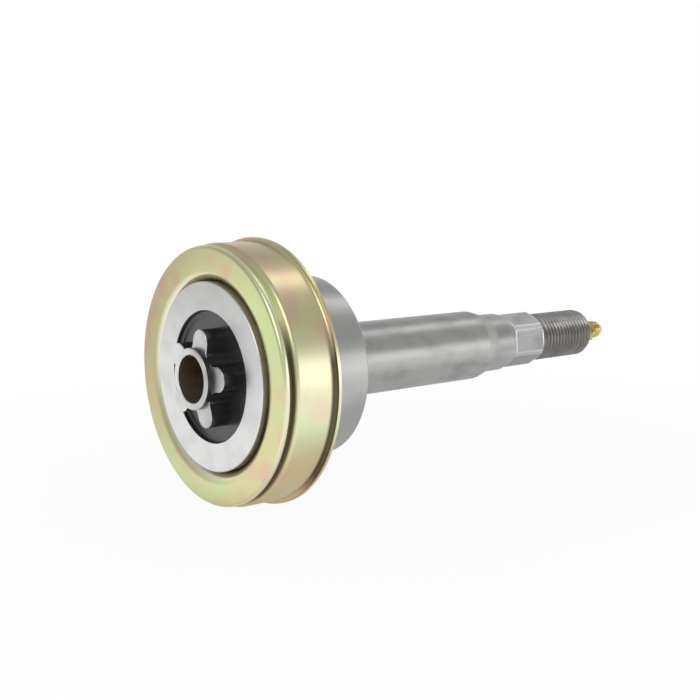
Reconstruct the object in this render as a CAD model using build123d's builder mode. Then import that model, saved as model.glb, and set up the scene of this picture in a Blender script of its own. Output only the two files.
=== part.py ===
from build123d import *
import math
import os

# Blade bearing shaft of a ride-on mower deck, with its lower ball bearing, dust cap and grease nipple.
# The shaft lies along +X, from the blade end to the threaded end, with +Z up.
# The origin is on the axis, at the middle of the bearing's width. Lengths are in millimetres.

# Ball bearing, a standard metric size with two rubber seals
BEARING_BORE = 20.0
BEARING_OUTSIDE = 47.0
BEARING_WIDTH = 14.0
RING_CHAMFER = 0.6
BALL_COUNT = 8
BALL_DIAMETER = 7.938
BALL_PITCH_DIAMETER = 33.5
RACE_CLEARANCE = 0.1
INNER_RACE_COVER = 2.85
OUTER_RACE_COVER = 2.95

# Pressed ball cage
CAGE_SHEET = 0.7
CAGE_RING_WIDTH = 4.3
CAGE_BALL_CLEARANCE = 0.2
RIVET_DIAMETER = 1.5
RIVET_HEAD_DIAMETER = 2.6
RIVET_HEAD_HEIGHT = 0.5

# Rubber seals
SEAL_THICKNESS = 1.1
SEAL_SETBACK = 0.5
SEAL_GROOVE_DEPTH = 1.0
SEAL_MOUTH_DEPTH = 0.5
SEAL_LIP_CLEARANCE = 0.15
SEAL_DISH_DEPTH = 0.4
SEAL_DISH_WIDTH = 2.2

# Blade end of the shaft
SHOULDER_DIAMETER = 26.0
SHOULDER_LENGTH = 11.8
FLANGE_DIAMETER = 47.6
FLANGE_THICKNESS = 7.05
FLANGE_CHAMFER = 0.2
FLANGE_ROOT_FILLET = 1.5
RECESS_DIAMETER = 33.4
RECESS_DEPTH = 1.8
STAR_DIAMETER = 25.3
LOBE_COUNT = 5
LOBE_WIDTH = 6.2
LOBE_REACH = 3.45
LOBE_ROOT_FILLET = 1.2
STAR_TURN = 5.3
HUB_DIAMETER = 15.4
HUB_REACH = 5.0
HUB_CHAMFER = 0.25
BOLT_THREAD_DIAMETER = 9.9
BOLT_THREAD_DEPTH = 32.0
BOLT_PILOT_DIAMETER = 12.0
BOLT_PILOT_DEPTH = 14.0
BOLT_MOUTH_CHAMFER = 0.2

# Threaded end of the shaft
MAIN_LENGTH = 56.7
MAIN_TAPER_LENGTH = 5.2
UPPER_SEAT_DIAMETER = 17.0
UPPER_SEAT_LENGTH = 5.8
PULLEY_LAND_DIAMETER = 16.0
PULLEY_TAPER_LENGTH = 1.6
PULLEY_COLLAR_LENGTH = 1.0
PULLEY_FLAT_LENGTH = 11.5
PULLEY_ACROSS_FLATS = 14.8
PULLEY_FLAT_COUNT = 6
PULLEY_TURN = 4.5
PULLEY_CUTTER_RADIUS = 6.0
PULLEY_CHAMFER = 0.5
THREAD_DIAMETER = 14.288
THREAD_LENGTH = 22.1
THREAD_PITCH = 1.411
THREAD_DEPTH = 0.8
THREAD_CREST = 0.2
TIP_TAPER_LENGTH = 4.4
TIP_DIAMETER = 8.4

# Grease way
GREASE_BORE_DIAMETER = 4.0
GREASE_BORE_END = 38.0
GREASE_OUTLET_DIAMETER = 4.0
GREASE_OUTLET_INSET = 2.0

# Grease nipple
NIPPLE_SHANK_DIAMETER = 6.0
NIPPLE_SHANK_LENGTH = 5.5
NIPPLE_SOCKET_DEPTH = 6.0
NIPPLE_ACROSS_FLATS = 7.0
NIPPLE_HEX_LENGTH = 2.8
NIPPLE_NECK_DIAMETER = 4.6
NIPPLE_NECK_LENGTH = 1.2
NIPPLE_HEAD_DIAMETER = 6.2
NIPPLE_FLARE_LENGTH = 1.0
NIPPLE_NOSE_LENGTH = 2.2
NIPPLE_RIM_LENGTH = 0.8
NIPPLE_TIP_DIAMETER = 3.6
NIPPLE_BORE_DIAMETER = 3.2
NIPPLE_MOUTH_DIAMETER = 1.8
NIPPLE_MOUTH_LENGTH = 0.5
NIPPLE_STOP_DIAMETER = 1.6
NIPPLE_STOP_LENGTH = 0.8
NIPPLE_BALL_DIAMETER = 2.5
NIPPLE_BALL_CLEARANCE = 0.05
NIPPLE_SPRING_WIRE = 0.35
NIPPLE_SPRING_DIAMETER = 2.0
NIPPLE_SPRING_TURNS = 6

# Dust cap, one formed sheet
CAP_SHEET = 0.8
CAP_SETBACK = 0.1
CAP_COLLAR_LENGTH = 5.4
CAP_INNER_BEND = 3.1
CAP_FRONT_REACH = 8.85
CAP_FOLD_BEND = 0.15
CAP_GROOVE_REACH = 4.2
CAP_GROOVE_BEND = 0.3
CAP_GROOVE_LEAN = 0.9
CAP_SKIRT_REACH = 9.35
CAP_SHOULDER_BEND = 0.5
CAP_LENGTH = 15.3
CAP_LIP_REACH = 10.35
CAP_LIP_BEND = 0.9

# Places along the shaft that follow from the sizes
bearing_front = -BEARING_WIDTH / 2
bearing_rear = BEARING_WIDTH / 2
flange_back = bearing_front - SHOULDER_LENGTH
blade_seat = flange_back - FLANGE_THICKNESS
recess_floor = blade_seat + RECESS_DEPTH
lobe_face = blade_seat - LOBE_REACH
hub_face = blade_seat - HUB_REACH
main_end = bearing_rear + MAIN_LENGTH
upper_seat_start = main_end + MAIN_TAPER_LENGTH
upper_seat_end = upper_seat_start + UPPER_SEAT_LENGTH
collar_start = upper_seat_end + PULLEY_TAPER_LENGTH
flats_start = collar_start + PULLEY_COLLAR_LENGTH
flats_end = flats_start + PULLEY_FLAT_LENGTH
thread_start = flats_end + PULLEY_CHAMFER
thread_end = thread_start + THREAD_LENGTH
shaft_tip = thread_end + TIP_TAPER_LENGTH

os.makedirs("parts", exist_ok=True)


def facing_blade(x):
    """Plane across the axis, seen from the blade end, with -Y to the right and +Z up."""
    return Plane(origin=(x, 0, 0), x_dir=(0, -1, 0), z_dir=(-1, 0, 0))


def facing_thread(x):
    """Plane across the axis, seen from the threaded end, with +Y to the right and +Z up."""
    return Plane(origin=(x, 0, 0), x_dir=(0, 1, 0), z_dir=(1, 0, 0))


# Drive star: round-ended lobes around the hub
lobe_centre = (STAR_DIAMETER - LOBE_WIDTH) / 2
with BuildSketch(facing_blade(recess_floor)) as star:
    Circle(HUB_DIAMETER / 2)
    with PolarLocations(lobe_centre, LOBE_COUNT, STAR_TURN):
        Circle(LOBE_WIDTH / 2)
    with PolarLocations(lobe_centre / 2, LOBE_COUNT, STAR_TURN):
        Rectangle(lobe_centre, LOBE_WIDTH)
    lobe_roots = star.vertices().group_by(SortBy.DISTANCE)[0]
    fillet(lobe_roots, LOBE_ROOT_FILLET)

# Pulley flat: the outline that the cutter takes away, with its round run-out
flat_height = PULLEY_ACROSS_FLATS / 2
runout_height = UPPER_SEAT_DIAMETER / 2
runout_drop = PULLEY_CUTTER_RADIUS - (runout_height - flat_height)
runout_length = math.sqrt(PULLEY_CUTTER_RADIUS**2 - runout_drop**2)
with BuildSketch(Plane.XY) as flat_cut:
    with BuildLine():
        Polyline(
            (flats_start - runout_length, runout_height),
            (thread_start, runout_height),
            (thread_start, flat_height),
            (flats_start, flat_height),
        )
        RadiusArc(
            (flats_start, flat_height), (flats_start - runout_length, runout_height), PULLEY_CUTTER_RADIUS
        )
    make_face()

# Thread: a row of V-shaped grooves at the thread's pitch
groove_count = int(THREAD_LENGTH // THREAD_PITCH)
groove_half = (THREAD_PITCH - THREAD_CREST) / 2
thread_middle = (thread_start + thread_end) / 2

# Shaft: turned profile, drive star, pulley flats and drilled holes
with BuildPart() as spindle_shaft:
    with BuildSketch(Plane.XY) as turned_profile:
        with BuildLine():
            Polyline(
                (hub_face, 0),
                (hub_face, HUB_DIAMETER / 2 - HUB_CHAMFER),
                (hub_face + HUB_CHAMFER, HUB_DIAMETER / 2),
                (recess_floor, HUB_DIAMETER / 2),
                (recess_floor, RECESS_DIAMETER / 2),
                (blade_seat, RECESS_DIAMETER / 2),
                (blade_seat, FLANGE_DIAMETER / 2 - FLANGE_CHAMFER),
                (blade_seat + FLANGE_CHAMFER, FLANGE_DIAMETER / 2),
                (flange_back, FLANGE_DIAMETER / 2),
                (flange_back, SHOULDER_DIAMETER / 2),
                (bearing_front, SHOULDER_DIAMETER / 2),
                (bearing_front, BEARING_BORE / 2),
                (main_end, BEARING_BORE / 2),
                (upper_seat_start, UPPER_SEAT_DIAMETER / 2),
                (upper_seat_end, UPPER_SEAT_DIAMETER / 2),
                (collar_start, PULLEY_LAND_DIAMETER / 2),
                (flats_end, PULLEY_LAND_DIAMETER / 2),
                (thread_start, THREAD_DIAMETER / 2),
                (thread_end, THREAD_DIAMETER / 2),
                (shaft_tip, TIP_DIAMETER / 2),
                (shaft_tip, 0),
                close=True,
            )
        make_face()
        flange_root = turned_profile.vertices().sort_by_distance((flange_back, SHOULDER_DIAMETER / 2))[0]
        fillet(flange_root, FLANGE_ROOT_FILLET)
        with Locations((thread_middle, THREAD_DIAMETER / 2)):
            with GridLocations(THREAD_PITCH, THREAD_PITCH, groove_count, 1):
                Polygon(
                    (-groove_half, 0), (groove_half, 0), (0, -THREAD_DEPTH), align=None, mode=Mode.SUBTRACT
                )
    revolve(axis=Axis.X)
    extrude(star.sketch, amount=recess_floor - lobe_face)

    for index in range(PULLEY_FLAT_COUNT):
        flat_angle = PULLEY_TURN + index * 360 / PULLEY_FLAT_COUNT
        turned_cut = flat_cut.sketch.rotate(Axis.X, flat_angle)
        extrude(turned_cut, amount=PULLEY_LAND_DIAMETER, both=True, mode=Mode.SUBTRACT)

    with Locations(facing_blade(hub_face)):
        CounterBoreHole(
            BOLT_THREAD_DIAMETER / 2, BOLT_PILOT_DIAMETER / 2, BOLT_PILOT_DEPTH, BOLT_THREAD_DEPTH
        )
    mouth_edge = spindle_shaft.edges().filter_by(GeomType.CIRCLE).group_by(Axis.X)[0].sort_by(SortBy.RADIUS)[0]
    chamfer(mouth_edge, BOLT_MOUTH_CHAMFER)
    with Locations(facing_thread(shaft_tip)):
        CounterBoreHole(
            GREASE_BORE_DIAMETER / 2, NIPPLE_SHANK_DIAMETER / 2, NIPPLE_SOCKET_DEPTH, shaft_tip - GREASE_BORE_END
        )
    outlet_place = GREASE_BORE_END + GREASE_OUTLET_INSET
    with Locations(Plane(origin=(outlet_place, BEARING_BORE / 2, 0), x_dir=(1, 0, 0), z_dir=(0, 1, 0))):
        Hole(GREASE_OUTLET_DIAMETER / 2, BEARING_BORE / 2)
spindle_shaft.part.label = "spindle_shaft"
export_step(spindle_shaft.part, "parts/spindle_shaft.step")


# Dust cap: one sheet formed into collar, front flange, folded groove, skirt and turned-out lip
cap_face = blade_seat + CAP_SETBACK
half_sheet = CAP_SHEET / 2
flange_radius = FLANGE_DIAMETER / 2
collar_line = flange_radius + half_sheet
front_line = cap_face + half_sheet
fold_line = flange_radius + CAP_FRONT_REACH - half_sheet
fold_bend = CAP_FOLD_BEND + half_sheet
back_line = front_line + 2.02 * fold_bend
groove_line = flange_radius + CAP_GROOVE_REACH - half_sheet
groove_bend = CAP_GROOVE_BEND + half_sheet
shoulder_line = back_line + 2.02 * groove_bend + CAP_GROOVE_LEAN
skirt_line = flange_radius + CAP_SKIRT_REACH - half_sheet
lip_line = cap_face + CAP_LENGTH - half_sheet
with BuildLine() as sheet_line:
    FilletPolyline(
        (cap_face + CAP_SHEET + CAP_COLLAR_LENGTH, collar_line),
        (front_line, collar_line),
        (front_line, fold_line),
        (back_line, fold_line),
        (back_line, groove_line),
        (back_line + 2.02 * groove_bend, groove_line),
        (shoulder_line, skirt_line),
        (lip_line, skirt_line),
        (lip_line, flange_radius + CAP_LIP_REACH),
        radius=[
            CAP_INNER_BEND + half_sheet,
            fold_bend,
            fold_bend,
            groove_bend,
            groove_bend,
            CAP_SHOULDER_BEND + half_sheet,
            CAP_LIP_BEND + half_sheet,
        ],
    )
with BuildPart() as dust_cap:
    with BuildSketch(Plane.XY):
        for sheet_side in (Side.LEFT, Side.RIGHT):
            with BuildLine():
                offset(sheet_line.line, half_sheet, side=sheet_side)
            make_face()
    revolve(axis=Axis.X)
dust_cap.part.label = "dust_cap"
export_step(dust_cap.part, "parts/dust_cap.step")


# Bearing rings: each a turned ring with a groove that the balls run in
ball_radius = BALL_DIAMETER / 2
pitch_radius = BALL_PITCH_DIAMETER / 2
groove_radius = ball_radius + RACE_CLEARANCE
inner_shoulder = pitch_radius - INNER_RACE_COVER
outer_shoulder = pitch_radius + OUTER_RACE_COVER
seal_outer_face = BEARING_WIDTH / 2 - SEAL_SETBACK
seal_inner_face = seal_outer_face - SEAL_THICKNESS
seal_middle = (seal_outer_face + seal_inner_face) / 2
with BuildPart() as bearing_inner_ring:
    with BuildSketch(Plane.XY) as inner_section:
        inner_height = inner_shoulder - BEARING_BORE / 2
        with Locations((0, (BEARING_BORE + inner_height) / 2)):
            Rectangle(BEARING_WIDTH, inner_height)
        bore_corners = inner_section.vertices().group_by(Axis.Y)[0]
        chamfer(bore_corners, RING_CHAMFER)
        with Locations((0, pitch_radius)):
            Circle(groove_radius, mode=Mode.SUBTRACT)
    revolve(axis=Axis.X)
bearing_inner_ring.part.label = "bearing_inner_ring"
export_step(bearing_inner_ring.part, "parts/bearing_inner_ring.step")

with BuildPart() as bearing_outer_ring:
    with BuildSketch(Plane.XY) as outer_section:
        outer_height = BEARING_OUTSIDE / 2 - outer_shoulder
        with Locations((0, (BEARING_OUTSIDE - outer_height) / 2)):
            Rectangle(BEARING_WIDTH, outer_height)
        outside_corners = outer_section.vertices().group_by(Axis.Y)[-1]
        chamfer(outside_corners, RING_CHAMFER)
        with Locations((0, pitch_radius)):
            Circle(groove_radius, mode=Mode.SUBTRACT)
        for side in (-1, 1):
            with Locations((side * seal_middle, outer_shoulder)):
                Rectangle(SEAL_THICKNESS, 2 * SEAL_GROOVE_DEPTH, mode=Mode.SUBTRACT)
            with Locations((side * BEARING_WIDTH / 2, outer_shoulder)):
                Rectangle(2 * SEAL_SETBACK, 2 * SEAL_MOUTH_DEPTH, mode=Mode.SUBTRACT)
    revolve(axis=Axis.X)
bearing_outer_ring.part.label = "bearing_outer_ring"
export_step(bearing_outer_ring.part, "parts/bearing_outer_ring.step")


# Seals: a rubber disc in each groove of the outer ring, dished on the outside where it nears the inner ring
seal_seat = outer_shoulder + SEAL_GROOVE_DEPTH
seal_lip = inner_shoulder + SEAL_LIP_CLEARANCE
for side, seal_name in ((-1, "seal_front"), (1, "seal_rear")):
    with BuildPart() as seal:
        with BuildSketch(Plane.XY):
            with BuildLine():
                Polyline(
                    (side * seal_inner_face, seal_seat),
                    (side * seal_outer_face, seal_seat),
                    (side * seal_outer_face, seal_lip + SEAL_DISH_WIDTH),
                    (side * (seal_outer_face - SEAL_DISH_DEPTH), seal_lip),
                    (side * seal_inner_face, seal_lip),
                    close=True,
                )
            make_face()
        revolve(axis=Axis.X)
    seal.part.label = seal_name
    export_step(seal.part, f"parts/{seal_name}.step")


# Balls, evenly spaced in the cage
ball_step = 360 / BALL_COUNT
for index in range(BALL_COUNT):
    turn = math.radians(index * ball_step)
    with BuildPart() as bearing_ball:
        with Locations((0, pitch_radius * math.cos(turn), pitch_radius * math.sin(turn))):
            Sphere(ball_radius)
    ball_name = f"bearing_ball_{index + 1}"
    bearing_ball.part.label = ball_name
    export_step(bearing_ball.part, f"parts/{ball_name}.step")


# Cage: two pressed halves with a round pocket for each ball, joined by rivets between the pockets
pocket_radius = ball_radius + CAGE_BALL_CLEARANCE
pocket_reach = pocket_radius + CAGE_SHEET
with BuildSketch(Plane.YZ) as cage_ring:
    Circle(pitch_radius + CAGE_RING_WIDTH / 2)
    Circle(pitch_radius - CAGE_RING_WIDTH / 2, mode=Mode.SUBTRACT)
for side, cage_name in ((-1, "cage_front"), (1, "cage_rear")):
    with BuildPart(Plane.YZ) as cage_half:
        extrude(cage_ring.sketch, amount=side * CAGE_SHEET)
        with PolarLocations(pitch_radius, BALL_COUNT):
            Cylinder(pocket_reach, 2 * CAGE_RING_WIDTH, rotation=(0, 90, 0))
        extrude(cage_ring.sketch, amount=side * pocket_reach, mode=Mode.INTERSECT)
        with PolarLocations(pitch_radius, BALL_COUNT):
            Cylinder(pocket_radius, 2 * CAGE_RING_WIDTH, rotation=(0, 90, 0), mode=Mode.SUBTRACT)
        with PolarLocations(pitch_radius, BALL_COUNT, ball_step / 2):
            Cylinder(RIVET_DIAMETER / 2, 4 * CAGE_SHEET, mode=Mode.SUBTRACT)
    cage_half.part.label = cage_name
    export_step(cage_half.part, f"parts/{cage_name}.step")

head_middle = CAGE_SHEET + RIVET_HEAD_HEIGHT / 2
with BuildPart(Plane.YZ) as cage_rivets:
    with PolarLocations(pitch_radius, BALL_COUNT, ball_step / 2):
        Cylinder(RIVET_DIAMETER / 2, 2 * CAGE_SHEET)
        with Locations((0, 0, -head_middle), (0, 0, head_middle)):
            Cylinder(RIVET_HEAD_DIAMETER / 2, RIVET_HEAD_HEIGHT)
cage_rivets.part.label = "cage_rivets"
export_step(cage_rivets.part, "parts/cage_rivets.step")


# Grease nipple: body with its check ball and spring inside
nipple_end = shaft_tip - NIPPLE_SHANK_LENGTH
hex_end = shaft_tip + NIPPLE_HEX_LENGTH
neck_start = hex_end + (NIPPLE_ACROSS_FLATS - NIPPLE_NECK_DIAMETER) / 4
neck_end = hex_end + NIPPLE_NECK_LENGTH
flare_end = neck_end + NIPPLE_FLARE_LENGTH
rim_end = flare_end + NIPPLE_RIM_LENGTH
nipple_tip = rim_end + NIPPLE_NOSE_LENGTH
mouth_start = nipple_tip - NIPPLE_MOUTH_LENGTH
cone_length = (NIPPLE_BORE_DIAMETER - NIPPLE_MOUTH_DIAMETER) / 2
with BuildPart() as nipple_body:
    with BuildSketch(Plane.XY):
        with BuildLine():
            Polyline(
                (nipple_end, 0),
                (nipple_end, NIPPLE_SHANK_DIAMETER / 2),
                (shaft_tip, NIPPLE_SHANK_DIAMETER / 2),
                (hex_end, NIPPLE_SHANK_DIAMETER / 2),
                (neck_start, NIPPLE_NECK_DIAMETER / 2),
                (neck_end, NIPPLE_NECK_DIAMETER / 2),
                (flare_end, NIPPLE_HEAD_DIAMETER / 2),
                (rim_end, NIPPLE_HEAD_DIAMETER / 2),
                (nipple_tip, NIPPLE_TIP_DIAMETER / 2),
                (nipple_tip, 0),
                close=True,
            )
        make_face()
    revolve(axis=Axis.X)
    with BuildSketch(facing_thread(shaft_tip)):
        RegularPolygon(NIPPLE_ACROSS_FLATS / 2, 6, major_radius=False)
    extrude(amount=NIPPLE_HEX_LENGTH)
    with BuildSketch(Plane.XY):
        with BuildLine():
            Polyline(
                (nipple_end, 0),
                (nipple_end, NIPPLE_STOP_DIAMETER / 2),
                (nipple_end + NIPPLE_STOP_LENGTH, NIPPLE_STOP_DIAMETER / 2),
                (nipple_end + NIPPLE_STOP_LENGTH, NIPPLE_BORE_DIAMETER / 2),
                (mouth_start - cone_length, NIPPLE_BORE_DIAMETER / 2),
                (mouth_start, NIPPLE_MOUTH_DIAMETER / 2),
                (nipple_tip, NIPPLE_MOUTH_DIAMETER / 2),
                (nipple_tip, 0),
                close=True,
            )
        make_face()
    revolve(axis=Axis.X, mode=Mode.SUBTRACT)
nipple_body.part.label = "nipple_body"
export_step(nipple_body.part, "parts/nipple_body.step")

check_radius = NIPPLE_BALL_DIAMETER / 2
check_place = mouth_start + NIPPLE_MOUTH_DIAMETER / 2 - (check_radius + NIPPLE_BALL_CLEARANCE) * math.sqrt(2)
with BuildPart() as nipple_ball:
    with Locations((check_place, 0, 0)):
        Sphere(check_radius)
nipple_ball.part.label = "nipple_ball"
export_step(nipple_ball.part, "parts/nipple_ball.step")

wire_radius = NIPPLE_SPRING_WIRE / 2
coil_radius = NIPPLE_SPRING_DIAMETER / 2
coil_reach = check_radius + wire_radius + NIPPLE_BALL_CLEARANCE
coil_start = nipple_end + NIPPLE_STOP_LENGTH + wire_radius
coil_end = check_place - math.sqrt(coil_reach**2 - coil_radius**2)
with BuildPart() as nipple_spring:
    with BuildLine() as coil:
        Helix(
            pitch=(coil_end - coil_start) / NIPPLE_SPRING_TURNS,
            height=coil_end - coil_start,
            radius=coil_radius,
            center=(coil_start, 0, 0),
            direction=(1, 0, 0),
        )
    with BuildSketch(Plane(origin=coil.line @ 0, z_dir=coil.line % 0)):
        Circle(wire_radius)
    sweep(is_frenet=True)
nipple_spring.part.label = "nipple_spring"
export_step(nipple_spring.part, "parts/nipple_spring.step")
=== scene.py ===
import math

import bmesh
import bpy
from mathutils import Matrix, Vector


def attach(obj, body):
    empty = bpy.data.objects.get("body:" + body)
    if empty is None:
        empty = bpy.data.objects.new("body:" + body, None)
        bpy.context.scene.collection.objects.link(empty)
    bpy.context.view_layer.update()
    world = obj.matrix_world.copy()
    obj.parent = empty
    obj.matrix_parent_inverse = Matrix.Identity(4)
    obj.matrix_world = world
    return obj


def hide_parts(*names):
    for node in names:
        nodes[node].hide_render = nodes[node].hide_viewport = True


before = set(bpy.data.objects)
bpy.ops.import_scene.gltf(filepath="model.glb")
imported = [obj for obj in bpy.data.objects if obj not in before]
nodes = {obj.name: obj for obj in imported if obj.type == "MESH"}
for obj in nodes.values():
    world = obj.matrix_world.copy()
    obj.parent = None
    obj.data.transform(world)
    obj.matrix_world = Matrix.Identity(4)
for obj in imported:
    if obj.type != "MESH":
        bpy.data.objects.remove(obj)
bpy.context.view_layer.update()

# Units, directions and white
MM = 0.001
FULL_TURN = 2 * math.pi
ALONG = (1.0, 0.0, 0.0)
FAR_SIDE = (0.0, 1.0, 0.0)
UP = (0.0, 0.0, 1.0)
DOWN = (0.0, 0.0, -1.0)
LEVEL_VIEW = (0.6287, 0.7776, 0.0)
WHITE = (1.0, 1.0, 1.0)

# Fineness of the surfaces
ROUND_STEPS = 192
FINE_STEPS = 256
FLAT_STEPS = 360
THREAD_STEPS = 120
THREAD_ROWS_PER_PITCH = 14
NIPPLE_STEPS = 96
RUN_OUT_STEPS = 20
CHAMFER_STEPS = 8
LOBE_STEPS = 24
LOBE_ROOT_STEPS = 6
BEND_STEPS = 6
SHEET_BEND_STEPS = 8
MERGE_DISTANCE = 2e-6
SHARP_ANGLE = math.radians(30.0)

# Blade end of the shaft, in millimetres: places along the shaft and radii (R) from its axis
HUB_FACE = -30.85
HUB_R = 7.7
HUB_EDGE = 0.25
PILOT_R = 6.0
PILOT_EDGE = 0.2
PILOT_END = -16.85
BOLT_R = 4.95
BOLT_END = 1.15
LOBE_FACE = -29.3
LOBE_COUNT = 5
LOBE_HALF_WIDTH = 3.1
LOBE_CENTRE = 9.55
LOBE_ROOT = 1.2
LOBE_EDGE = 0.2
STAR_TURN = math.radians(5.3)
BLADE_SEAT = -25.85
SEAT_HOLLOW = 0.3
RECESS_FLOOR = -24.05
RECESS_R = 16.55
RECESS_FILLET = 0.8
RECESS_EDGE_DEPTH = 0.2
RECESS_EDGE_WIDTH = 0.15
FLANGE_R = 23.8
FLANGE_EDGE = 0.2
FLANGE_BACK = -18.8
FLANGE_FILLET = 1.5
SHOULDER_R = 13.0

# Bearing
BALL_COUNT = 8
BEARING_HALF = 7.0
BEARING_R = 23.5
RING_CHAMFER = 0.6
RING_FACE_BEND = 0.2
RING_RIM_BEND = 0.3
RING_MOUTH_R = 20.2
RING_SHOULDER_R = 19.7
SEAL_GROOVE_R = 20.7
SEAL_OUTER_FACE = 6.5
SEAL_INNER_FACE = 5.4

# Journal, pulley flats and thread
MAIN_R = 10.0
MAIN_END = 63.7
MAIN_BEND = 1.5
SEAT_R = 8.5
SEAT_START = 68.9
SEAT_BEND = 2.0
SEAT_END = 74.7
LAND_R = 8.0
COLLAR_START = 76.3
FLATS_START = 77.8
FLATS_SETTLED = 81.8
FLATS_END = 89.1
FLAT_HEIGHT = 7.28
FLAT_COUNT = 6
FLAT_TURN = math.radians(-5.0)
CUTTER_R = 1.0
RELIEF_R = 6.5
RELIEF_LENGTH = 0.9
THREAD_START = 90.2
THREAD_END = 111.2
THREAD_R = 7.144
THREAD_PITCH = 1.411
THREAD_DEPTH = 0.8
THREAD_ROOT_SHARE = 0.12
THREAD_FLANK_SHARE = 0.72
THREAD_RUN_IN = 1.2
THREAD_RUN_OUT = 1.4
SHAFT_TIP = 117.0
TIP_R = 3.15
SOCKET_R = 3.0

# Grease nipple
NIPPLE_END = 110.3
HEX_END = 118.6
HEX_HEIGHT = 3.05
HEX_SIDES = 6
NECK_R = 2.2
NECK_START = 119.1
NECK_END = 119.7
HEAD_R = 2.65
HEAD_START = 120.5
HEAD_START_BEND = 0.3
HEAD_END = 121.7
HEAD_END_BEND = 1.0
NIPPLE_TIP = 123.8
NOSE_R = 1.6
NOSE_BEND = 0.4
MOUTH_R = 0.9
MOUTH_END = 123.3
BORE_R = 1.6
BORE_START = 122.6
BORE_STOP = 111.1
BORE_STOP_R = 0.8

# Dust cap: the middle of its sheet
SHEET = 0.8
CAP_COLLAR_R = 24.2
CAP_COLLAR_END = -19.55
CAP_FRONT = -25.35
CAP_FRONT_BEND = 3.5
CAP_FOLD_R = 32.25
CAP_FOLD_BEND = 0.55
CAP_FOLD_END = -24.35
CAP_GROOVE_R = 31.25
CAP_GROOVE_START = -24.0
CAP_GROOVE_END = -22.9
CAP_GROOVE_FRONT_BEND = 0.5
CAP_GROOVE_BACK_BEND = 0.6
CAP_SKIRT_R = 32.75
CAP_SKIRT_START = -21.9
CAP_SKIRT_BEND = 0.9
CAP_LIP = -10.85
CAP_LIP_R = 34.15
CAP_LIP_BEND = 1.3

# Where the cap's colours fade: limits in millimetres, directions and strengths. The brown in the groove and
# the lip's corner is painted shade, the pale bends and skirt are painted highlights, and the cap is painted
# darker towards its far side and top.
GROOVE_SHADE_R = (32.3, 32.9)
GROOVE_SHADE_FRONT = (-24.4, -24.1)
GROOVE_SHADE_BACK = (-21.8, -20.8)
GROOVE_SHADE_SIDE = (0.0, -0.94, -0.34)
GROOVE_SHADE_REACH = (19.5, 25.5)
LIP_SHADE_X = (-13.0, -12.2)
LIP_SHADE_R = (33.95, 34.1)
LIP_SHADE_SIDE = (0.0, -0.97, -0.26)
LIP_SHADE_REACH = (24.5, 30.0)
PAINTED_SHADE_STRENGTH = 0.95
HIGHLIGHT_FOLD_R = (32.2, 32.5)
HIGHLIGHT_FOLD_X = (-24.6, -24.0)
HIGHLIGHT_FOLD_STRENGTH = 0.6
HIGHLIGHT_INNER_R = (25.2, 26.4)
HIGHLIGHT_INNER_STRENGTH = 0.9
HIGHLIGHT_SKIRT_Y = (-33.0, -29.0)
HIGHLIGHT_SKIRT_STRENGTH = 0.5
ROSE_HEIGHT = (8.0, 22.0)
ROSE_STRENGTH = 0.5
SKIRT_X = (-22.6, -21.8)
PAINTED_LIGHT_SIDE = (0.0, -0.90, -0.40)
PAINTED_LIGHT_REACH = (-32.0, 10.0)

# Film of the cap: its tones, its patches, the tones of its painted shade and painted highlights, and the
# roughness where the brown painted shade lies
PAINTED_SHADE_TONE = (0.65, 0.60, 0.63)
PAINTED_HIGHLIGHT_CREAM = (0.94, 0.92, 0.72)
PAINTED_SHADE_BROWN = (0.11, 0.085, 0.048)
PAINTED_SHADE_ROUGHNESS = 0.5
GREEN_LIMITS = (0.38, 0.60)
ROSE_LIMITS = (0.54, 0.66)
ROSE_SHARE = 0.9
PATCH_TURN = math.radians(40.0)

# Middle range of a noise, and a quarter of a turn as shaders count it
NOISE_LIMITS = (0.3, 0.7)
QUARTER_TURN = 0.25


# Shader helpers
def grey(tone):
    """A colour without hue."""
    return (tone, tone, tone)


def add_node(tree, kind, **settings):
    """A new shader node with its settings."""
    made = tree.nodes.new(kind)
    for key, value in settings.items():
        setattr(made, key, value)
    return made


def new_material(name):
    """A material with its node tree and its surface shader."""
    material = bpy.data.materials.new(name)
    material.use_nodes = True
    tree = material.node_tree
    return material, tree, tree.nodes["Principled BSDF"]


def object_millimetres(tree):
    """The point on the surface in millimetres, in the part's own frame."""
    coordinate = add_node(tree, "ShaderNodeTexCoord")
    scale = add_node(tree, "ShaderNodeVectorMath", operation="SCALE")
    scale.inputs["Scale"].default_value = 1 / MM
    tree.links.new(coordinate.outputs["Object"], scale.inputs[0])
    return scale.outputs[0]


def combine(tree, operation, *values):
    """Values joined one after another by sums, products or comparisons."""
    total = values[0]
    for value in values[1:]:
        made = add_node(tree, "ShaderNodeMath", operation=operation)
        tree.links.new(total, made.inputs[0])
        tree.links.new(value, made.inputs[1])
        total = made.outputs[0]
    return total


def reach(tree, point, direction):
    """How far a point lies along a direction."""
    made = add_node(tree, "ShaderNodeVectorMath", operation="DOT_PRODUCT")
    made.inputs[1].default_value = direction
    tree.links.new(point, made.inputs[0])
    return made.outputs["Value"]


def length_of(tree, vector):
    """The length of a vector."""
    made = add_node(tree, "ShaderNodeVectorMath", operation="LENGTH")
    tree.links.new(vector, made.inputs[0])
    return made.outputs["Value"]


def lathe_place(tree, point):
    """The place of a point along the axis and its distance from the axis."""
    flatten = add_node(tree, "ShaderNodeVectorMath", operation="MULTIPLY")
    flatten.inputs[1].default_value = (0.0, 1.0, 1.0)
    tree.links.new(point, flatten.inputs[0])
    return reach(tree, point, ALONG), length_of(tree, flatten.outputs[0])


def line_noise(tree, distance, scale, detail):
    """Noise that changes only along a turned profile, like tool marks."""
    noise = add_node(tree, "ShaderNodeTexNoise", noise_dimensions="1D")
    noise.inputs["Scale"].default_value = scale
    noise.inputs["Detail"].default_value = detail
    tree.links.new(distance, noise.inputs["W"])
    return noise.outputs["Fac"]


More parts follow.
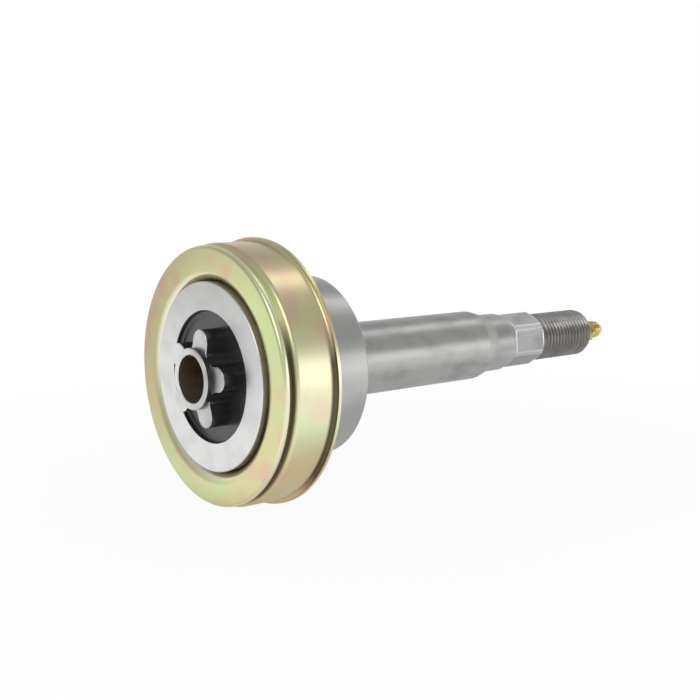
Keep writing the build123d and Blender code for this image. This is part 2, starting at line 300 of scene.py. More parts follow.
def cloud_noise(tree, point, scale, detail, stretch=(1.0, 1.0, 1.0), turn=0.0):
    """Soft noise in space, stretched along the axes and turned about the shaft."""
    shape = add_node(tree, "ShaderNodeMapping")
    shape.inputs["Scale"].default_value = stretch
    shape.inputs["Rotation"].default_value = (turn, 0.0, 0.0)
    tree.links.new(point, shape.inputs["Vector"])
    noise = add_node(tree, "ShaderNodeTexNoise", noise_dimensions="3D")
    noise.inputs["Scale"].default_value = scale
    noise.inputs["Detail"].default_value = detail
    tree.links.new(shape.outputs[0], noise.inputs["Vector"])
    return noise.outputs["Fac"]


def ramp(tree, factor, stops):
    """Greys along a factor: stops are (place, tone)."""
    made = add_node(tree, "ShaderNodeValToRGB")
    elements = made.color_ramp.elements
    while len(elements) < len(stops):
        elements.new(0.5)
    for element, (place, tone) in zip(elements, stops):
        element.position = place
        element.color = (*grey(tone), 1.0)
    tree.links.new(factor, made.inputs["Fac"])
    return made.outputs["Color"]


def spread(tree, factor, low, high, limits):
    """A factor between two limits, mapped to low and high."""
    made = add_node(tree, "ShaderNodeMapRange")
    made.inputs["From Min"].default_value = limits[0]
    made.inputs["From Max"].default_value = limits[1]
    made.inputs["To Min"].default_value = low
    made.inputs["To Max"].default_value = high
    tree.links.new(factor, made.inputs["Value"])
    return made.outputs["Result"]


def rise(tree, factor, limits, strength=1.0):
    """Nothing up to the first limit, and the full strength from the second."""
    return spread(tree, factor, 0.0, strength, limits)


def fall(tree, factor, limits, strength=1.0):
    """The full strength up to the first limit, and nothing from the second."""
    return spread(tree, factor, strength, 0.0, limits)


def mix_colour(tree, factor, first, second, blend="MIX"):
    """Two colours mixed by a factor."""
    made = add_node(tree, "ShaderNodeMix", data_type="RGBA", blend_type=blend)
    if isinstance(factor, float):
        made.inputs["Factor"].default_value = factor
    else:
        tree.links.new(factor, made.inputs["Factor"])
    for name, value in (("A", first), ("B", second)):
        socket = [entry for entry in made.inputs if entry.name == name and entry.type == "RGBA"][0]
        if isinstance(value, tuple):
            socket.default_value = (*value, 1.0)
        else:
            tree.links.new(value, socket)
    return [entry for entry in made.outputs if entry.type == "RGBA"][0]


def tinted(tree, colour, tint):
    """A colour multiplied by a tint."""
    return mix_colour(tree, 1.0, colour, tint, "MULTIPLY")


def drift(tree, point, direction, limits, first_tone):
    """Painted light and shade: a tone that changes along a direction, from first_tone at the first limit to
    white at the second.
    """
    share = rise(tree, reach(tree, point, direction), limits)
    return mix_colour(tree, share, first_tone, WHITE)


def add_bump(tree, shader, height, strength, distance):
    """Fine relief on a surface."""
    bump = add_node(tree, "ShaderNodeBump")
    bump.inputs["Strength"].default_value = strength
    bump.inputs["Distance"].default_value = distance
    tree.links.new(height, bump.inputs["Height"])
    tree.links.new(bump.outputs["Normal"], shader.inputs["Normal"])


# Finishes
def turned_steel(name, dark, light, roughness, line_scale, relief, blotch, stretch=0.0, painted_light_fade=None):
    """Machined steel with tool marks around the axis, faint stains and, if given, a long sheen or light and
    shade painted into its colour.
    """
    material, tree, shader = new_material(name)
    point = object_millimetres(tree)
    distance = combine(tree, "ADD", *lathe_place(tree, point))
    lines = line_noise(tree, distance, line_scale, detail=4.0)
    stains = cloud_noise(tree, point, scale=0.18, detail=4.0, stretch=(0.6, 1.0, 1.0))
    tone = mix_colour(tree, rise(tree, lines, NOISE_LIMITS), dark, light)
    colour = tinted(tree, tone, ramp(tree, stains, [(0.3, 1.0 - blotch), (0.55, 1.0)]))
    # Painted light and shade: the colour darkens along a direction towards the given tone.
    if painted_light_fade:
        direction, limits, share = painted_light_fade
        colour = tinted(tree, colour, drift(tree, point, direction, limits, grey(share)))
    tree.links.new(colour, shader.inputs["Base Color"])
    shader.inputs["Metallic"].default_value = 1.0
    shader.inputs["Roughness"].default_value = roughness
    if stretch:
        tangent = add_node(tree, "ShaderNodeTangent", direction_type="RADIAL", axis="X")
        tree.links.new(tangent.outputs[0], shader.inputs["Tangent"])
        shader.inputs["Anisotropic"].default_value = stretch
        shader.inputs["Anisotropic Rotation"].default_value = QUARTER_TURN
    add_bump(tree, shader, lines, strength=relief, distance=0.05 * MM)
    return material


def plain_material(name, colour, metallic, roughness):
    """An even surface with a trace of mottle, for pieces inside the bearing and nipple."""
    material, tree, shader = new_material(name)
    mottle = cloud_noise(tree, object_millimetres(tree), scale=0.8, detail=3.0)
    darker = tuple(value * 0.85 for value in colour)
    tree.links.new(mix_colour(tree, mottle, darker, colour), shader.inputs["Base Color"])
    shader.inputs["Metallic"].default_value = metallic
    shader.inputs["Roughness"].default_value = roughness
    return material


def forged_black():
    """Black scale left by forging, slightly oily."""
    material, tree, shader = new_material("forged_black")
    point = object_millimetres(tree)
    grain = cloud_noise(tree, point, scale=1.2, detail=3.0)
    patch = cloud_noise(tree, point, scale=0.25, detail=2.0)
    patches = rise(tree, patch, NOISE_LIMITS)
    tone = mix_colour(tree, patches, (0.012, 0.012, 0.012), (0.024, 0.024, 0.023))
    tree.links.new(tone, shader.inputs["Base Color"])
    shader.inputs["Metallic"].default_value = 0.0
    shader.inputs["IOR"].default_value = 1.75
    roughness = spread(tree, grain, low=0.26, high=0.34, limits=NOISE_LIMITS)
    tree.links.new(roughness, shader.inputs["Roughness"])
    add_bump(tree, shader, grain, strength=0.03, distance=0.1 * MM)
    return material


def painted_shade_mask(tree, point):
    """Painted shade, brown: on the viewer's side, in the cap's groove and in the corner at its lip."""
    x, r = lathe_place(tree, point)
    groove = combine(
        tree,
        "MULTIPLY",
        fall(tree, r, GROOVE_SHADE_R),
        rise(tree, x, GROOVE_SHADE_FRONT),
        fall(tree, x, GROOVE_SHADE_BACK),
        rise(tree, reach(tree, point, GROOVE_SHADE_SIDE), GROOVE_SHADE_REACH, PAINTED_SHADE_STRENGTH),
    )
    lip = combine(
        tree,
        "MULTIPLY",
        rise(tree, x, LIP_SHADE_X),
        fall(tree, r, LIP_SHADE_R),
        rise(tree, reach(tree, point, LIP_SHADE_SIDE), LIP_SHADE_REACH, PAINTED_SHADE_STRENGTH),
    )
    return combine(tree, "MAXIMUM", groove, lip)


def painted_highlight_mask(tree, point):
    """Painted highlights, pale cream: on the front ring's bends and the viewer's side of the skirt."""
    x, r = lathe_place(tree, point)
    y = reach(tree, point, FAR_SIDE)
    fold_r = rise(tree, r, HIGHLIGHT_FOLD_R, HIGHLIGHT_FOLD_STRENGTH)
    fold = combine(tree, "MULTIPLY", fold_r, fall(tree, x, HIGHLIGHT_FOLD_X))
    inner_bend = fall(tree, r, HIGHLIGHT_INNER_R, HIGHLIGHT_INNER_STRENGTH)
    skirt_y = fall(tree, y, HIGHLIGHT_SKIRT_Y, HIGHLIGHT_SKIRT_STRENGTH)
    skirt = combine(tree, "MULTIPLY", skirt_y, rise(tree, x, SKIRT_X))
    return combine(tree, "MAXIMUM", fold, inner_bend, skirt)


def rose_mask(tree, point):
    """Where the film turns rose: over the top and under the bottom of the skirt."""
    height = combine(tree, "MAXIMUM", reach(tree, point, UP), reach(tree, point, DOWN))
    high = rise(tree, height, ROSE_HEIGHT, ROSE_STRENGTH)
    return combine(tree, "MULTIPLY", high, rise(tree, reach(tree, point, ALONG), SKIRT_X))


def yellow_zinc(name, gold, green, rose, roughness, formed=False):
    """Yellow passivated zinc: gold with green and rose patches; a formed sheet also has brown painted shade
    in its groove and lip corner, painted highlights on its bends and skirt, and painted shade towards its
    far side and top.
    """
    material, tree, shader = new_material(name)
    point = object_millimetres(tree)
    broad = cloud_noise(tree, point, scale=0.060, detail=1.0)
    patch = cloud_noise(tree, point, scale=0.100, detail=1.5, stretch=(1.3, 1.0, 1.0), turn=PATCH_TURN)
    colour = mix_colour(tree, rise(tree, broad, GREEN_LIMITS), gold, green)
    colour = mix_colour(tree, rise(tree, patch, ROSE_LIMITS, ROSE_SHARE), colour, rose)
    shader.inputs["Metallic"].default_value = 1.0
    shader.inputs["Roughness"].default_value = roughness
    if formed:
        painted_shade = painted_shade_mask(tree, point)
        colour = mix_colour(tree, rose_mask(tree, point), colour, rose)
        # Painted light and shade: darker towards the far side and the top, full tone towards the viewer's
        # side and the bottom.
        colour = tinted(tree, colour, drift(tree, point, PAINTED_LIGHT_SIDE, PAINTED_LIGHT_REACH, PAINTED_SHADE_TONE))
        # Painted highlights, pale cream, on the front ring's bends and the viewer's side of the skirt.
        colour = mix_colour(tree, painted_highlight_mask(tree, point), colour, PAINTED_HIGHLIGHT_CREAM)
        # Painted shade, brown, in the groove and the lip's corner on the viewer's side; rougher there.
        colour = mix_colour(tree, painted_shade, colour, PAINTED_SHADE_BROWN)
        rougher = spread(tree, painted_shade, roughness, PAINTED_SHADE_ROUGHNESS, (0.0, 1.0))
        tree.links.new(rougher, shader.inputs["Roughness"])
    tree.links.new(colour, shader.inputs["Base Color"])
    return material


# Materials; light and shade painted into a colour are given by a direction, the limits between which it
# fades and its darker tone: darker at the top of the faces, on the viewer's side of the star, and lower down
# on the flats, land and thread
face_steel = turned_steel(
    "face_steel",
    dark=(0.77, 0.77, 0.76),
    light=(0.87, 0.87, 0.86),
    roughness=0.38,
    line_scale=5.0,
    relief=0.06,
    blotch=0.12,
    painted_light_fade=(DOWN, (-22.0, -2.0), 0.7),
)
star_steel = turned_steel(
    "star_steel",
    dark=(0.75, 0.75, 0.74),
    light=(0.85, 0.85, 0.84),
    roughness=0.39,
    line_scale=4.0,
    relief=0.06,
    blotch=0.2,
    painted_light_fade=(FAR_SIDE, (-7.0, 4.0), 0.70),
)
journal_steel = turned_steel(
    "journal_steel",
    dark=(0.47, 0.47, 0.46),
    light=(0.52, 0.52, 0.51),
    roughness=0.39,
    line_scale=3.0,
    relief=0.05,
    blotch=0.24,
    stretch=0.6,
)
flat_steel = turned_steel(
    "flat_steel",
    dark=(0.50, 0.495, 0.49),
    light=(0.60, 0.595, 0.59),
    roughness=0.42,
    line_scale=3.0,
    relief=0.05,
    blotch=0.3,
    painted_light_fade=(UP, (3.0, 4.5), 0.68),
)
# Painted highlight: a brighter copy of the turned steel for the lands between the flats, their run-out and
# the chamfer.
land_highlight_steel = turned_steel(
    "land_highlight_steel",
    dark=(0.80, 0.79, 0.78),
    light=(0.92, 0.91, 0.90),
    roughness=0.34,
    line_scale=3.0,
    relief=0.05,
    blotch=0.1,
    painted_light_fade=(UP, (-4.0, 2.0), 0.6),
)
ring_steel = turned_steel(
    "ring_steel",
    dark=(0.47, 0.47, 0.46),
    light=(0.51, 0.51, 0.50),
    roughness=0.36,
    line_scale=2.0,
    relief=0.02,
    blotch=0.08,
    stretch=0.3,
)
thread_steel = turned_steel(
    "thread_steel",
    dark=(0.36, 0.35, 0.335),
    light=(0.50, 0.485, 0.465),
    roughness=0.28,
    line_scale=1.0,
    relief=0.02,
    blotch=0.3,
    painted_light_fade=(UP, (1.0, 6.0), 0.58),
)
hole_steel = turned_steel(
    "hole_steel",
    dark=(0.54, 0.47, 0.37),
    light=(0.64, 0.56, 0.45),
    roughness=0.42,
    line_scale=1.4,
    relief=0.1,
    blotch=0.3,
)
flange_side = turned_steel(
    "flange_side",
    dark=(0.40, 0.36, 0.29),
    light=(0.48, 0.43, 0.35),
    roughness=0.50,
    line_scale=2.0,
    relief=0.05,
    blotch=0.2,
)
black_scale = forged_black()
cap_zinc = yellow_zinc(
    "cap_zinc",
    gold=(0.78, 0.72, 0.39),
    green=(0.69, 0.78, 0.39),
    rose=(0.80, 0.60, 0.41),
    roughness=0.31,
    formed=True,
)
nipple_gold = yellow_zinc(
    "nipple_gold",
    gold=(0.72, 0.50, 0.14),
    green=(0.52, 0.43, 0.12),
    rose=(0.70, 0.43, 0.15),
    roughness=0.20,
)
seal_rubber = plain_material("seal_rubber", (0.018, 0.018, 0.018), metallic=0.0, roughness=0.55)
cage_steel = plain_material("cage_steel", (0.45, 0.44, 0.42), metallic=1.0, roughness=0.4)
ball_steel = plain_material("ball_steel", (0.62, 0.62, 0.62), metallic=1.0, roughness=0.12)


# Shapes: lists of (x, r) points, turned about the shaft's axis
def rounded(corners, steps=BEND_STEPS):
    """Points of a line of (x, r, radius) corners, each corner rounded by its own radius."""
    points = [corners[0][:2]]
    for before, here, after in zip(corners, corners[1:], corners[2:]):
        radius = here[2]
        if radius == 0:
            points.append(here[:2])
            continue
        corner = Vector(here[:2])
        into = (Vector(before[:2]) - corner).normalized()
        out = (Vector(after[:2]) - corner).normalized()
        half = into.angle(out) / 2
        centre = corner + (into + out).normalized() * (radius / math.sin(half))
        first = corner + into * (radius / math.tan(half)) - centre
        last = corner + out * (radius / math.tan(half)) - centre
        for step in range(steps + 1):
            spoke = first.lerp(last, step / steps).normalized() * radius
            points.append(tuple(centre + spoke))
    points.append(corners[-1][:2])
    return points


def even_places(start, end, count):
    """Places from start to end, both included, in equal steps."""
    return [start + (end - start) * step / count for step in range(count + 1)]


def ring(x, radius_at, steps):
    """One ring of points around the axis; radius_at gives the radius at an angle from +Y towards +Z."""
    points = []
    for step in range(steps):
        angle = FULL_TURN * step / steps
        radius = radius_at(angle)
        points.append((x, radius * math.cos(angle), radius * math.sin(angle)))
    return points


def round_ring(x, radius, steps):
    """One ring of points on a circle."""
    return ring(x, lambda angle: radius, steps)


class Piece:
    """The surface of one piece, collected in millimetres and then made into an object."""

    def __init__(self, materials):
        self.materials = materials
        self.points = []
        self.faces = []
        self.face_materials = []

    def face(self, points, material):
        """One face with all the points as its corners."""
        first = len(self.points)
        self.points.extend(points)
        self.faces.append(tuple(range(first, first + len(points))))
        self.face_materials.append(self.materials.index(material))

    def rows(self, rows, material, closed=True, other=None, takes_other=None):
        """Join rows of points with four-sided faces; takes_other picks columns of the other material."""
        first = len(self.points)
        width = len(rows[0])
        for row in rows:
            self.points.extend(row)
        columns = width if closed else width - 1
        numbers = [self.materials.index(material)] * columns
        if other:
            for column in filter(takes_other, range(columns)):
                numbers[column] = self.materials.index(other)
        for row in range(len(rows) - 1):
            for column in range(columns):
                here = first + row * width + column
                beside = first + row * width + (column + 1) % width
                self.faces.append((here, beside, beside + width, here + width))
                self.face_materials.append(numbers[column])

    def lathe(self, profile, material, steps=ROUND_STEPS):
        """Turn a profile of (x, r) points about the axis."""
        self.rows([round_ring(x, r, steps) for x, r in profile], material)

    def make(self, name, body, replaced):
        """The finished object, riding on its body in place of its CAD node."""
        mesh = bpy.data.meshes.new(name)
        scaled = [(x * MM, y * MM, z * MM) for x, y, z in self.points]
        mesh.from_pydata(scaled, [], self.faces)
        for material in self.materials:
            mesh.materials.append(material)
        mesh.polygons.foreach_set("material_index", self.face_materials)
        work = bmesh.new()
        work.from_mesh(mesh)
        bmesh.ops.remove_doubles(work, verts=work.verts, dist=MERGE_DISTANCE)
        bmesh.ops.recalc_face_normals(work, faces=work.faces)
        work.to_mesh(mesh)
        work.free()
        mesh.shade_smooth()
        mesh.set_sharp_from_angle(angle=SHARP_ANGLE)
        made = bpy.data.objects.new(name, mesh)
        bpy.context.scene.collection.objects.link(made)
        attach(made, body)
        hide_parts(replaced)


# Shaft: blade end
shaft_materials = [face_steel, journal_steel, flat_steel, land_highlight_steel, thread_steel, hole_steel, flange_side]
shaft_materials += [star_steel, black_scale]
shaft = Piece(shaft_materials)
mouth = (HUB_FACE + PILOT_EDGE, PILOT_R)
bolt_hole = [(BOLT_END, 0.0), (BOLT_END, BOLT_R), (PILOT_END, BOLT_R), (PILOT_END, PILOT_R), mouth]
shaft.lathe(bolt_hole, hole_steel)
hub_inside = (HUB_FACE, PILOT_R + PILOT_EDGE)
hub_outside = (HUB_FACE, HUB_R - HUB_EDGE)
hub_side = (HUB_FACE + HUB_EDGE, HUB_R)
shaft.lathe([mouth, hub_inside, hub_outside, hub_side], star_steel)
shaft.lathe([hub_side, (LOBE_FACE, HUB_R), (RECESS_FLOOR, HUB_R)], black_scale)
recess_rim = BLADE_SEAT + SEAT_HOLLOW
recess = rounded(
    [
        (RECESS_FLOOR, HUB_R, 0),
        (RECESS_FLOOR, RECESS_R, RECESS_FILLET),
        (recess_rim + RECESS_EDGE_DEPTH, RECESS_R, 0),
        (recess_rim, RECESS_R + RECESS_EDGE_WIDTH, 0),
    ]
)
shaft.lathe(recess, black_scale)
flange_edge = (BLADE_SEAT + FLANGE_EDGE, FLANGE_R)
shaft.lathe([recess[-1], (BLADE_SEAT, FLANGE_R - FLANGE_EDGE), flange_edge], face_steel)
shaft.lathe([flange_edge, (FLANGE_BACK, FLANGE_R)], flange_side)
shoulder = rounded(
    [
        (FLANGE_BACK, FLANGE_R, 0),
        (FLANGE_BACK, SHOULDER_R, FLANGE_FILLET),
        (-BEARING_HALF, SHOULDER_R, 0),
        (-BEARING_HALF, MAIN_R, 0),
    ]
)
shaft.lathe(shoulder, flange_side)


# Shaft: drive star
def lobe_outline(turn, inset):
    """Outline of one lobe from root to root, as (y, z) points; turn counts up from the viewer's side."""
    half = LOBE_HALF_WIDTH - inset
    root = LOBE_ROOT + inset
    side = half + root
    root_out = math.sqrt((HUB_R + root) ** 2 - side**2)
    at_hub = math.atan2(-side, -root_out)
    first_root = []
    for angle in even_places(at_hub, -math.pi / 2, LOBE_ROOT_STEPS):
        first_root.append((root_out + root * math.cos(angle), side + root * math.sin(angle)))
    nose = []
    for angle in even_places(math.pi / 2, -math.pi / 2, LOBE_STEPS):
        nose.append((LOBE_CENTRE + half * math.cos(angle), half * math.sin(angle)))
    second_root = [(out, -across) for out, across in reversed(first_root)]
    turned = []
    for out, across in first_root + nose + second_root:
        right = out * math.cos(turn) - across * math.sin(turn)
        up = out * math.sin(turn) + across * math.cos(turn)
        turned.append((-right, up))
    return turned


for index in range(LOBE_COUNT):
    turn = STAR_TURN + FULL_TURN * index / LOBE_COUNT
    wide = lobe_outline(turn, 0.0)
    narrow = lobe_outline(turn, LOBE_EDGE)
    side_rows = [[(x, y, z) for y, z in wide] for x in (RECESS_FLOOR, LOBE_FACE + LOBE_EDGE)]
    shaft.rows(side_rows, black_scale, closed=False)
    edge_rows = [side_rows[-1], [(LOBE_FACE, y, z) for y, z in narrow]]
    shaft.rows(edge_rows, star_steel, closed=False)
    shaft.face(edge_rows[-1], star_steel)

# Shaft: journal and upper bearing seat
journal = rounded(
    [
        (-BEARING_HALF, MAIN_R, 0),
        (MAIN_END, MAIN_R, MAIN_BEND),
        (SEAT_START, SEAT_R, SEAT_BEND),
        (SEAT_END, SEAT_R, 0),
    ]
)
shaft.lathe(journal, journal_steel)


# Shaft: pulley flats
def land_radius(x):
    """Radius of the turned surface that the flats are cut into, with a chamfer behind them."""
    if x > FLATS_END:
        share = (x - FLATS_END) / (THREAD_START - FLATS_END)
        return LAND_R + (RELIEF_R - LAND_R) * share
    return LAND_R


def flat_radius(x, angle):
    """Radius of the flats at an angle, with the cutter's round run-out at their start."""
    height = FLAT_HEIGHT
    if x < FLATS_START:
        back = FLATS_START - x
        if back >= CUTTER_R:
            return LAND_R + CUTTER_R
        height += CUTTER_R - math.sqrt(CUTTER_R**2 - back**2)
    step = FULL_TURN / FLAT_COUNT
    away = (angle - FLAT_TURN + step / 2) % step - step / 2
    return height / math.cos(away)


def cut_radius(x, angle):
    """Radius of the land with the flats cut into it."""
    return min(land_radius(x), flat_radius(x, angle))


def flat_rings(places):
    """Rings of the land with its flats, one at each place."""
    return [ring(place, lambda angle, x=place: cut_radius(x, angle), FLAT_STEPS) for place in places]


def on_land(column):
    """Whether a column of faces lies on the turned land between two flats."""
    return flat_radius(FLATS_END, FULL_TURN * (column + 0.5) / FLAT_STEPS) > LAND_R


run_out_start = FLATS_START - CUTTER_R
run_out_places = even_places(run_out_start, FLATS_START, RUN_OUT_STEPS)
flat_places = [FLATS_START, FLATS_SETTLED, FLATS_END]
chamfer_places = even_places(FLATS_END, THREAD_START, CHAMFER_STEPS)
shaft.lathe([(SEAT_END, SEAT_R), (COLLAR_START, LAND_R)], journal_steel)
shaft.rows(flat_rings([COLLAR_START, run_out_start]), journal_steel)
# The run-out, the lands between the flats and the chamfer carry the painted highlight.
shaft.rows(flat_rings(run_out_places), land_highlight_steel)
shaft.rows(flat_rings(flat_places), flat_steel, other=land_highlight_steel, takes_other=on_land)
shaft.rows(flat_rings(chamfer_places), land_highlight_steel)


# Shaft: thread and tip
def limited(value):
    """A value held between nothing and one."""
    return min(max(value, 0.0), 1.0)


def thread_radius(x, angle):
    """Radius of the thread's flank at a place along it and around it."""
    phase = ((x - THREAD_START) / THREAD_PITCH - angle / FULL_TURN) % 1.0
    from_root = abs(phase - 0.5) * 2
    tooth = limited((from_root - THREAD_ROOT_SHARE) / THREAD_FLANK_SHARE)
    run_in = limited((x - THREAD_START) / THREAD_RUN_IN)
    limit = THREAD_R
    if x < THREAD_START + RELIEF_LENGTH:
        limit = RELIEF_R + (THREAD_R - RELIEF_R) * (x - THREAD_START) / RELIEF_LENGTH
    if x > THREAD_END:
        limit = THREAD_R + (TIP_R - THREAD_R) * (x - THREAD_END) / (SHAFT_TIP - THREAD_END)
    return min(limit, THREAD_R - THREAD_DEPTH * (1 - tooth) * run_in)


thread_rows = []
thread_step = THREAD_PITCH / THREAD_ROWS_PER_PITCH
thread_count = int((THREAD_END + THREAD_RUN_OUT - THREAD_START) / thread_step)
for row in range(thread_count + 1):
    place = THREAD_START + row * thread_step
    thread_rows.append(ring(place, lambda angle, x=place: thread_radius(x, angle), THREAD_STEPS))
thread_rows.append(round_ring(SHAFT_TIP, TIP_R, THREAD_STEPS))
shaft.rows(thread_rows, thread_steel)
shaft.lathe([(SHAFT_TIP, TIP_R), (SHAFT_TIP, SOCKET_R)], thread_steel, THREAD_STEPS)
shaft.make("spindle_shaft_skin", "spindle", "spindle_shaft")


# Dust cap: both sides of one formed sheet
def sheet_profile(corners, thickness):
    """Closed outline of a sheet that follows a line of (x, r, radius) corners."""
    line = [Vector(point) for point in rounded(corners, SHEET_BEND_STEPS)]
    upper = []
    lower = []
    for number, here in enumerate(line):
        before = line[max(number - 1, 0)]
        after = line[min(number + 1, len(line) - 1)]
        along = (after - before).normalized()
        across = Vector((-along.y, along.x)) * (thickness / 2)
        upper.append(tuple(here + across))
        lower.append(tuple(here - across))
    outline = upper + lower[::-1]
    return outline + outline[:1]


cap_corners = [
    (CAP_COLLAR_END, CAP_COLLAR_R, 0),
    (CAP_FRONT, CAP_COLLAR_R, CAP_FRONT_BEND),
    (CAP_FRONT, CAP_FOLD_R, CAP_FOLD_BEND),
    (CAP_FOLD_END, CAP_FOLD_R, CAP_GROOVE_FRONT_BEND),
    (CAP_GROOVE_START, CAP_GROOVE_R, CAP_GROOVE_FRONT_BEND),
    (CAP_GROOVE_END, CAP_GROOVE_R, CAP_GROOVE_BACK_BEND),
    (CAP_SKIRT_START, CAP_SKIRT_R, CAP_SKIRT_BEND),
    (CAP_LIP, CAP_SKIRT_R, CAP_LIP_BEND),
    (CAP_LIP, CAP_LIP_R, 0),
]
cap = Piece([cap_zinc])
cap.lathe(sheet_profile(cap_corners, SHEET), cap_zinc, FINE_STEPS)
cap.make("dust_cap_skin", "spindle", "dust_cap")

# Outer ring of the bearing: one half of its section, mirrored for the other
rear_half = [
    (SEAL_INNER_FACE, RING_SHOULDER_R, 0),
    (SEAL_INNER_FACE, SEAL_GROOVE_R, 0),
    (SEAL_OUTER_FACE, SEAL_GROOVE_R, 0),
    (SEAL_OUTER_FACE, RING_MOUTH_R, 0),
    (BEARING_HALF, RING_MOUTH_R, 0),
    (BEARING_HALF, BEARING_R - RING_CHAMFER, RING_FACE_BEND),
    (BEARING_HALF - RING_CHAMFER, BEARING_R, RING_RIM_BEND),
]
front_half = [(-x, r, bend) for x, r, bend in reversed(rear_half)]
outer_ring = Piece([ring_steel])
outer_ring.lathe(rounded(rear_half + front_half + rear_half[:1]), ring_steel, FINE_STEPS)
outer_ring.make("bearing_outer_ring_skin", "outer_race", "bearing_outer_ring")


# Grease nipple: shank, hexagon, neck and rounded head, with its bore
def hex_radius(angle):
    """Radius of the nipple's hexagon at an angle, with one flat on top."""
    step = FULL_TURN / HEX_SIDES
    return HEX_HEIGHT / math.cos(angle % step - step / 2)


shank = [(NIPPLE_END, BORE_STOP_R), (NIPPLE_END, SOCKET_R), (SHAFT_TIP, SOCKET_R)]
hexagon = [
    round_ring(SHAFT_TIP, SOCKET_R, NIPPLE_STEPS),
    ring(SHAFT_TIP, hex_radius, NIPPLE_STEPS),
    ring(HEX_END, hex_radius, NIPPLE_STEPS),
    round_ring(HEX_END, HEX_HEIGHT, NIPPLE_STEPS),
]
head = rounded(
    [
        (HEX_END, HEX_HEIGHT, 0),
        (NECK_START, NECK_R, 0),
        (NECK_END, NECK_R, 0),
        (HEAD_START, HEAD_R, HEAD_START_BEND),
        (HEAD_END, HEAD_R, HEAD_END_BEND),
        (NIPPLE_TIP, NOSE_R, NOSE_BEND),
        (NIPPLE_TIP, MOUTH_R, 0),
    ]
)
bore = [
    (NIPPLE_TIP, MOUTH_R),
    (MOUTH_END, MOUTH_R),
    (BORE_START, BORE_R),
    (BORE_STOP, BORE_R),
    (BORE_STOP, BORE_STOP_R),
    (NIPPLE_END, BORE_STOP_R),
]
nipple = Piece([nipple_gold])
nipple.rows(hexagon, nipple_gold)
for profile in (shank, head, bore):
    nipple.lathe(profile, nipple_gold, NIPPLE_STEPS)
nipple.make("nipple_body_skin", "spindle", "nipple_body")

# Finishes of the pieces shown as they were built
node_finishes = {
    "bearing_inner_ring": ring_steel,
    "seal_front": seal_rubber,
    "seal_rear": seal_rubber,
    "cage_front": cage_steel,
    "cage_rear": cage_steel,
    "cage_rivets": cage_steel,
    "nipple_ball": ball_steel,
    "nipple_spring": cage_steel,
}
for index in range(BALL_COUNT):
    node_finishes[f"bearing_ball_{index + 1}"] = ball_steel
for name, material in node_finishes.items():
    slots = nodes[name].data.materials
    for number in range(len(slots)):
        slots[number] = material

# Floor: white to the camera, with the part's soft shadow on it; in reflections it is darker near the part
FLOOR_HALF = 3.0
FLOOR_TONE = 0.9
FLOOR_LEVEL = -CAP_LIP_R * MM
STRIP_START = 1.0
STRIP_END = 91.0
FAR = 1000.0
FAR_COUNTED = 1400.0
SHADOW_LIMITS = (40.0, 200.0)
SHADOW_WHITE = 0.94
REFLECTED_LIMITS = (0.0, 100.0)
REFLECTED_TONES = [(0.16, 0.46), (0.30, 0.28), (0.42, 0.42), (0.66, 1.0)]


def floor_distance(tree):
    """Distance in millimetres from a strip of the floor under the part; past its ends it grows faster."""
    point = object_millimetres(tree)
    x = reach(tree, point, ALONG)
    past_rear = spread(tree, x, 0.0, FAR_COUNTED, (STRIP_END, STRIP_END + FAR))
    past_front = spread(tree, x, FAR_COUNTED, 0.0, (STRIP_START - FAR, STRIP_START))
    offset = add_node(tree, "ShaderNodeCombineXYZ")
    tree.links.new(combine(tree, "MAXIMUM", past_rear, past_front), offset.inputs["X"])
    tree.links.new(reach(tree, point, FAR_SIDE), offset.inputs["Y"])
    return length_of(tree, offset.outputs[0])


def floor_white():
    """A pale floor that shows itself white by the kind of ray that sees it."""
    material, tree, shader = new_material("floor_white")
    tree.nodes.remove(shader)
    diffuse = add_node(tree, "ShaderNodeBsdfDiffuse")
    diffuse.inputs["Color"].default_value = (*grey(FLOOR_TONE), 1.0)
    glow = add_node(tree, "ShaderNodeEmission")
    glow.inputs["Strength"].default_value = 1.0
    distance = floor_distance(tree)
    seen = spread(tree, distance, SHADOW_WHITE, 1.0, SHADOW_LIMITS)
    reflected = ramp(tree, rise(tree, distance, REFLECTED_LIMITS), REFLECTED_TONES)
    shares = {"Is Camera Ray": seen, "Is Glossy Ray": reflected, "Is Transmission Ray": seen}
    path = add_node(tree, "ShaderNodeLightPath")
    parts = [combine(tree, "MULTIPLY", path.outputs[ray], share) for ray, share in shares.items()]
    mix = add_node(tree, "ShaderNodeMixShader")
    tree.links.new(combine(tree, "MAXIMUM", *parts), mix.inputs["Fac"])
    tree.links.new(diffuse.outputs[0], mix.inputs[1])
    tree.links.new(glow.outputs[0], mix.inputs[2])
    tree.links.new(mix.outputs[0], tree.nodes["Material Output"].inputs["Surface"])
    return material


floor_back = Vector(LEVEL_VIEW) * FLOOR_HALF
floor_right = Vector((floor_back.y, -floor_back.x, 0.0))
floor_corners = []
for back, right in ((-1, -1), (-1, 1), (1, 1), (1, -1)):
    corner = floor_back * back + floor_right * right
    floor_corners.append((corner.x, corner.y, FLOOR_LEVEL))
floor_mesh = bpy.data.meshes.new("floor")
floor_mesh.from_pydata(floor_corners, [], [(0, 1, 2, 3)])
floor_mesh.materials.append(floor_white())
floor = bpy.data.objects.new("floor", floor_mesh)
bpy.context.scene.collection.objects.link(floor)

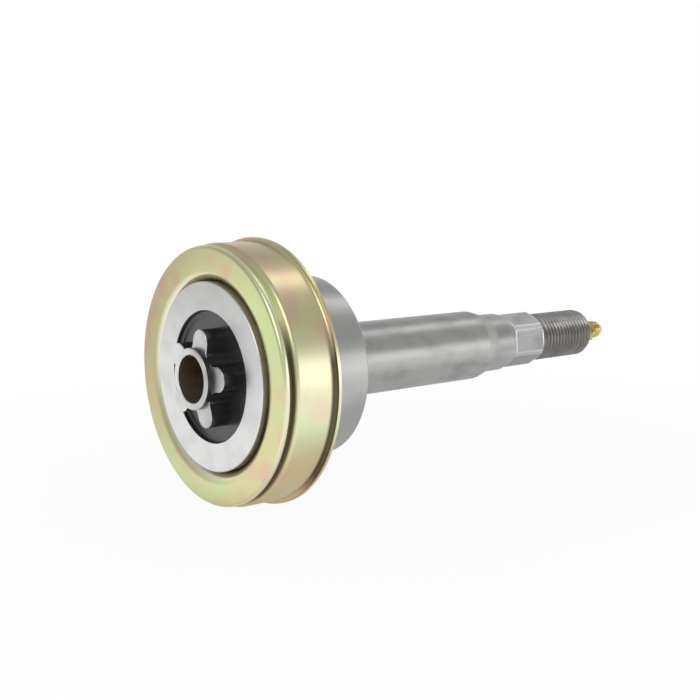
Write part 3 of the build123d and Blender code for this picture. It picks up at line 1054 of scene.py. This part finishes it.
# World: a white backdrop low behind the part and a grey studio above and around it
STUDIO_GREY = 0.48
BACKDROP_SPREAD = (0.0, 0.6)
BACKDROP_HEIGHT = (0.16, 0.65)
world = bpy.data.worlds.new("studio")
bpy.context.scene.world = world
world.use_nodes = True
sky = world.node_tree
background = sky.nodes["Background"]
sky_direction = add_node(sky, "ShaderNodeTexCoord").outputs["Generated"]
behind = rise(sky, reach(sky, sky_direction, LEVEL_VIEW), BACKDROP_SPREAD)
low = fall(sky, reach(sky, sky_direction, UP), BACKDROP_HEIGHT)
shown = mix_colour(sky, combine(sky, "MULTIPLY", behind, low), grey(STUDIO_GREY), WHITE)
sky.links.new(shown, background.inputs["Color"])
background.inputs["Strength"].default_value = 1.0


# Soft boxes
def soft_box(name, place, width, height, power):
    """One rectangular lamp that faces the part's origin, sizes in metres."""
    lamp = bpy.data.lights.new(name, "AREA")
    lamp.shape = "RECTANGLE"
    lamp.size = width
    lamp.size_y = height
    lamp.energy = power
    made = bpy.data.objects.new(name, lamp)
    made.location = place
    facing = Vector((0.0, 0.0, 0.0)) - Vector(place)
    made.rotation_euler = facing.to_track_quat("-Z", "Y").to_euler()
    bpy.context.scene.collection.objects.link(made)


soft_box("side_lamp", place=(0.33, -0.55, 0.045), width=0.8, height=0.24, power=0.61)
soft_box("top_lamp", place=(0.45, 0.0, 0.57), width=0.16, height=0.5, power=0.32)
soft_box("front_lamp", place=(-0.36, -0.24, 0.34), width=0.3, height=0.3, power=0.5)

# Camera at the photograph's place
CAMERA_PLACE = (-0.18070, -0.24769, 0.04943)
CAMERA_DIRECTION = (0.62207, 0.76935, -0.14540)
SENSOR_WIDTH = 36.0
FOCAL_PIXELS = 1185.0
PICTURE_PIXELS = 700.0
camera_data = bpy.data.cameras.new("camera")
camera_data.sensor_width = SENSOR_WIDTH
camera_data.lens = SENSOR_WIDTH * FOCAL_PIXELS / PICTURE_PIXELS
camera = bpy.data.objects.new("camera", camera_data)
camera.location = CAMERA_PLACE
camera.rotation_euler = Vector(CAMERA_DIRECTION).to_track_quat("-Z", "Y").to_euler()
bpy.context.scene.collection.objects.link(camera)
bpy.context.scene.camera = camera
bpy.context.scene.view_settings.view_transform = "Standard"
